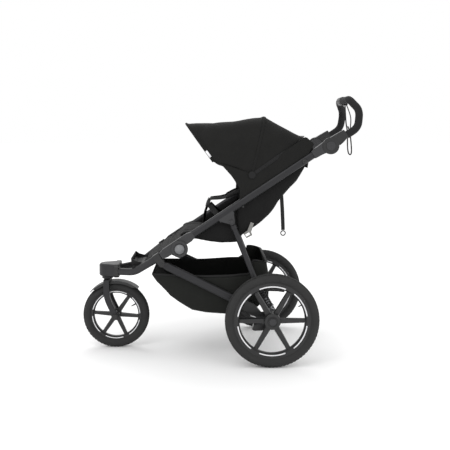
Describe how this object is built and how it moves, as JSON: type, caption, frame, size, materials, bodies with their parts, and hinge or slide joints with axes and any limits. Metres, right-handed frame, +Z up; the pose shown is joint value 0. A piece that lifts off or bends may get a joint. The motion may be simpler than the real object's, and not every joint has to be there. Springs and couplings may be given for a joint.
{
  "type": "three-wheel jogging stroller",
  "caption": "Folding all-terrain baby stroller with a swivelling front wheel, large rear wheels, shock absorbers, a folding canopy, a reclining seat and a basket.",
  "frame": {"origin": "on the floor under the middle of the stroller's outer box, midway between left and right", "axes": "+X runs back to front reversed: the child faces -X and the handlebar is at +X; +Y is across, the left side being -Y; +Z is up"},
  "size_m": [1.245, 0.68, 1.1555],
  "materials": {
    "frame_alu": "satin anodised dark grey",
    "plastic_dark": "fine moulded grain",
    "plastic_grey": "satin moulded",
    "disc_pale": "satin disc",
    "steel": "bright zinc",
    "spring_steel": "black coated wire",
    "tyre_rubber": "tread rubber",
    "rim_plastic": "moulded, pale reflective band",
    "seat_cloth": "plain weave",
    "canopy_cloth": "plain weave",
    "basket_cloth": "plain weave and mesh",
    "webbing": "ribbed webbing",
    "grip_foam": "closed-cell foam"
  },
  "bodies": {
    "main_frame": {"main_tubes": "frame_alu", "hinge_housings": "plastic_grey", "hinge_cross_tube": "frame_alu", "handle_hubs": "plastic_grey", "strut_brackets": "plastic_grey", "canopy_hubs": "plastic_dark", "canopy_rear_cover": "canopy_cloth", "seat_sling": "seat_cloth", "seat_cushion": "seat_cloth", "lap_straps": "webbing", "harness_buckle": "plastic_dark"},
    "front_frame": {"front_tubes": "frame_alu", "front_hinges": "plastic_grey", "fold_discs": "disc_pale", "front_head": "frame_alu", "head_collar": "plastic_dark", "chassis_brackets": "plastic_dark", "footrest": "plastic_dark", "leg_rest": "seat_cloth"},
    "chassis": {"chassis_tubes": "frame_alu", "chassis_ends": "plastic_dark", "basket": "basket_cloth"},
    "strut": {"struts": "frame_alu", "shock_springs": "spring_steel"},
    "shock_left": {"shock_rod_left": "steel"},
    "shock_right": {"shock_rod_right": "steel"},
    "swing": {"swing_arms": "plastic_dark", "axle_beam": "frame_alu", "brake_housings": "plastic_dark"},
    "brake_pedal": {"brake_pedal": "plastic_dark"},
    "rear_wheel_left": {"rear_tyre_left": "tyre_rubber", "rear_rim_left": "rim_plastic"},
    "rear_wheel_right": {"rear_tyre_right": "tyre_rubber", "rear_rim_right": "rim_plastic"},
    "cap_left": {"wheel_cap_left": "plastic_grey"},
    "cap_right": {"wheel_cap_right": "plastic_grey"},
    "fork": {"fork": "frame_alu", "front_axle": "steel", "front_fender": "plastic_dark"},
    "front_wheel": {"front_tyre": "tyre_rubber", "front_rim": "rim_plastic"},
    "handlebar": {"handlebar_tube": "frame_alu", "handle_cheeks": "plastic_dark", "handlebar_grip": "grip_foam", "cable_housing": "plastic_dark", "brake_cable": "grip_foam", "wrist_strap": "webbing"},
    "brake_twist": {"brake_twist_grip": "plastic_dark"},
    "button_left": {"handle_button_left": "plastic_grey"},
    "button_right": {"handle_button_right": "plastic_grey"},
    "back": {"backrest": "seat_cloth", "fold_catch": "plastic_dark", "recline_strap": "webbing", "recline_ring": "steel", "shoulder_straps": "webbing"},
    "canopy_mid": {"canopy_mid_bow": "plastic_dark", "canopy_mid_cover": "canopy_cloth"},
    "canopy_front": {"canopy_front_bow": "plastic_dark", "canopy_front_cover": "canopy_cloth"},
    "buckle_button": {"buckle_button": "plastic_grey"}
  },
  "joints": [
    {"name": "fold", "type": "hinge", "parent": "main_frame", "child": "front_frame", "pos_m": [-0.168, 0, 0.49], "axis": [0, -1, 0], "range_deg": [0, 118], "deforming": ["basket"]},
    {"name": "strut_fold", "type": "hinge", "parent": "main_frame", "child": "strut", "pos_m": [0.056, 0, 0.608], "axis": [0, -1, 0], "range_deg": [0, 42.31]},
    {"name": "chassis_fold", "type": "hinge", "parent": "front_frame", "child": "chassis", "pos_m": [-0.246, 0, 0.424], "axis": [0, -1, 0], "range_deg": [-96.64, 0]},
    {"name": "suspension", "type": "hinge", "parent": "chassis", "child": "swing", "pos_m": [0.177, 0, 0.203], "axis": [0, -1, 0], "range_deg": [0, 14], "stiffness_Nm_per_rad": 220, "springref_deg": -6.88},
    {"name": "shock_slide_left", "type": "slide", "parent": "strut", "child": "shock_left", "axis": [-0.4968, 0.014, 0.8677], "range_m": [0, 0.0146], "deforming": ["shock_springs"]},
    {"name": "shock_slide_right", "type": "slide", "parent": "strut", "child": "shock_right", "axis": [-0.4968, -0.014, 0.8677], "range_m": [0, 0.0146]},
    {"name": "front_swivel", "type": "hinge", "parent": "front_frame", "child": "fork", "pos_m": [-0.509, 0, 0.36], "axis": [0, 0, 1], "continuous": true},
    {"name": "front_wheel_spin", "type": "hinge", "parent": "fork", "child": "front_wheel", "pos_m": [-0.47, 0, 0.1525], "axis": [0, 1, 0], "continuous": true},
    {"name": "rear_wheel_spin_left", "type": "hinge", "parent": "swing", "child": "rear_wheel_left", "pos_m": [0.2244, -0.31, 0.2], "axis": [0, 1, 0], "continuous": true},
    {"name": "rear_wheel_spin_right", "type": "hinge", "parent": "swing", "child": "rear_wheel_right", "pos_m": [0.2244, 0.31, 0.2], "axis": [0, 1, 0], "continuous": true},
    {"name": "wheel_cap_push_left", "type": "slide", "parent": "rear_wheel_left", "child": "cap_left", "axis": [0, 1, 0], "range_m": [0, 0.003], "stiffness_N_per_m": 1500, "springref_m": -0.004},
    {"name": "wheel_cap_push_right", "type": "slide", "parent": "rear_wheel_right", "child": "cap_right", "axis": [0, -1, 0], "range_m": [0, 0.003], "stiffness_N_per_m": 1500, "springref_m": -0.004},
    {"name": "brake_pedal_press", "type": "hinge", "parent": "swing", "child": "brake_pedal", "pos_m": [0.2244, 0, 0.2], "axis": [0, 1, 0], "range_deg": [0, 22]},
    {"name": "handlebar_tilt", "type": "hinge", "parent": "main_frame", "child": "handlebar", "pos_m": [0.48172, 0, 0.9335], "axis": [0, -1, 0], "range_deg": [-30, 35]},
    {"name": "handle_button_push_left", "type": "slide", "parent": "handlebar", "child": "button_left", "axis": [0, 1, 0], "range_m": [0, 0.003], "stiffness_N_per_m": 1200, "springref_m": -0.004},
    {"name": "handle_button_push_right", "type": "slide", "parent": "handlebar", "child": "button_right", "axis": [0, -1, 0], "range_m": [0, 0.003], "stiffness_N_per_m": 1200, "springref_m": -0.004},
    {"name": "brake_twist", "type": "hinge", "parent": "handlebar", "child": "brake_twist", "pos_m": [0.577, 0.055, 1.136], "axis": [0, -1, 0], "range_deg": [0, 50], "stiffness_Nm_per_rad": 1.2, "springref_deg": -17.19},
    {"name": "recline", "type": "hinge", "parent": "main_frame", "child": "back", "pos_m": [0.075, 0, 0.508], "axis": [0, 1, 0], "range_deg": [0, 25]},
    {"name": "canopy_mid_fold", "type": "hinge", "parent": "main_frame", "child": "canopy_mid", "pos_m": [0.144, 0, 0.809], "axis": [0, 1, 0], "range_deg": [0, 36.5], "deforming": ["canopy_mid_cover"]},
    {"name": "canopy_front_fold", "type": "hinge", "parent": "canopy_mid", "child": "canopy_front", "pos_m": [0.144, 0, 0.809], "axis": [0, 1, 0], "range_deg": [0, 57.49], "deforming": ["canopy_front_cover"]},
    {"name": "buckle_release", "type": "slide", "parent": "main_frame", "child": "buckle_button", "axis": [0.9404, 0, -0.3401], "range_m": [0, 0.003], "stiffness_N_per_m": 900, "springref_m": -0.004}
  ],
  "couplings": [
    {"joint": "strut_fold", "follows": "fold", "ratio": 0.3585},
    {"joint": "chassis_fold", "follows": "fold", "ratio": -0.81893},
    {"joint": "shock_slide_left", "follows": "suspension", "m_per_rad": 0.0592},
    {"joint": "shock_slide_right", "follows": "suspension", "m_per_rad": 0.0592},
    {"joint": "canopy_front_fold", "follows": "canopy_mid_fold", "ratio": 1.575}
  ]
}
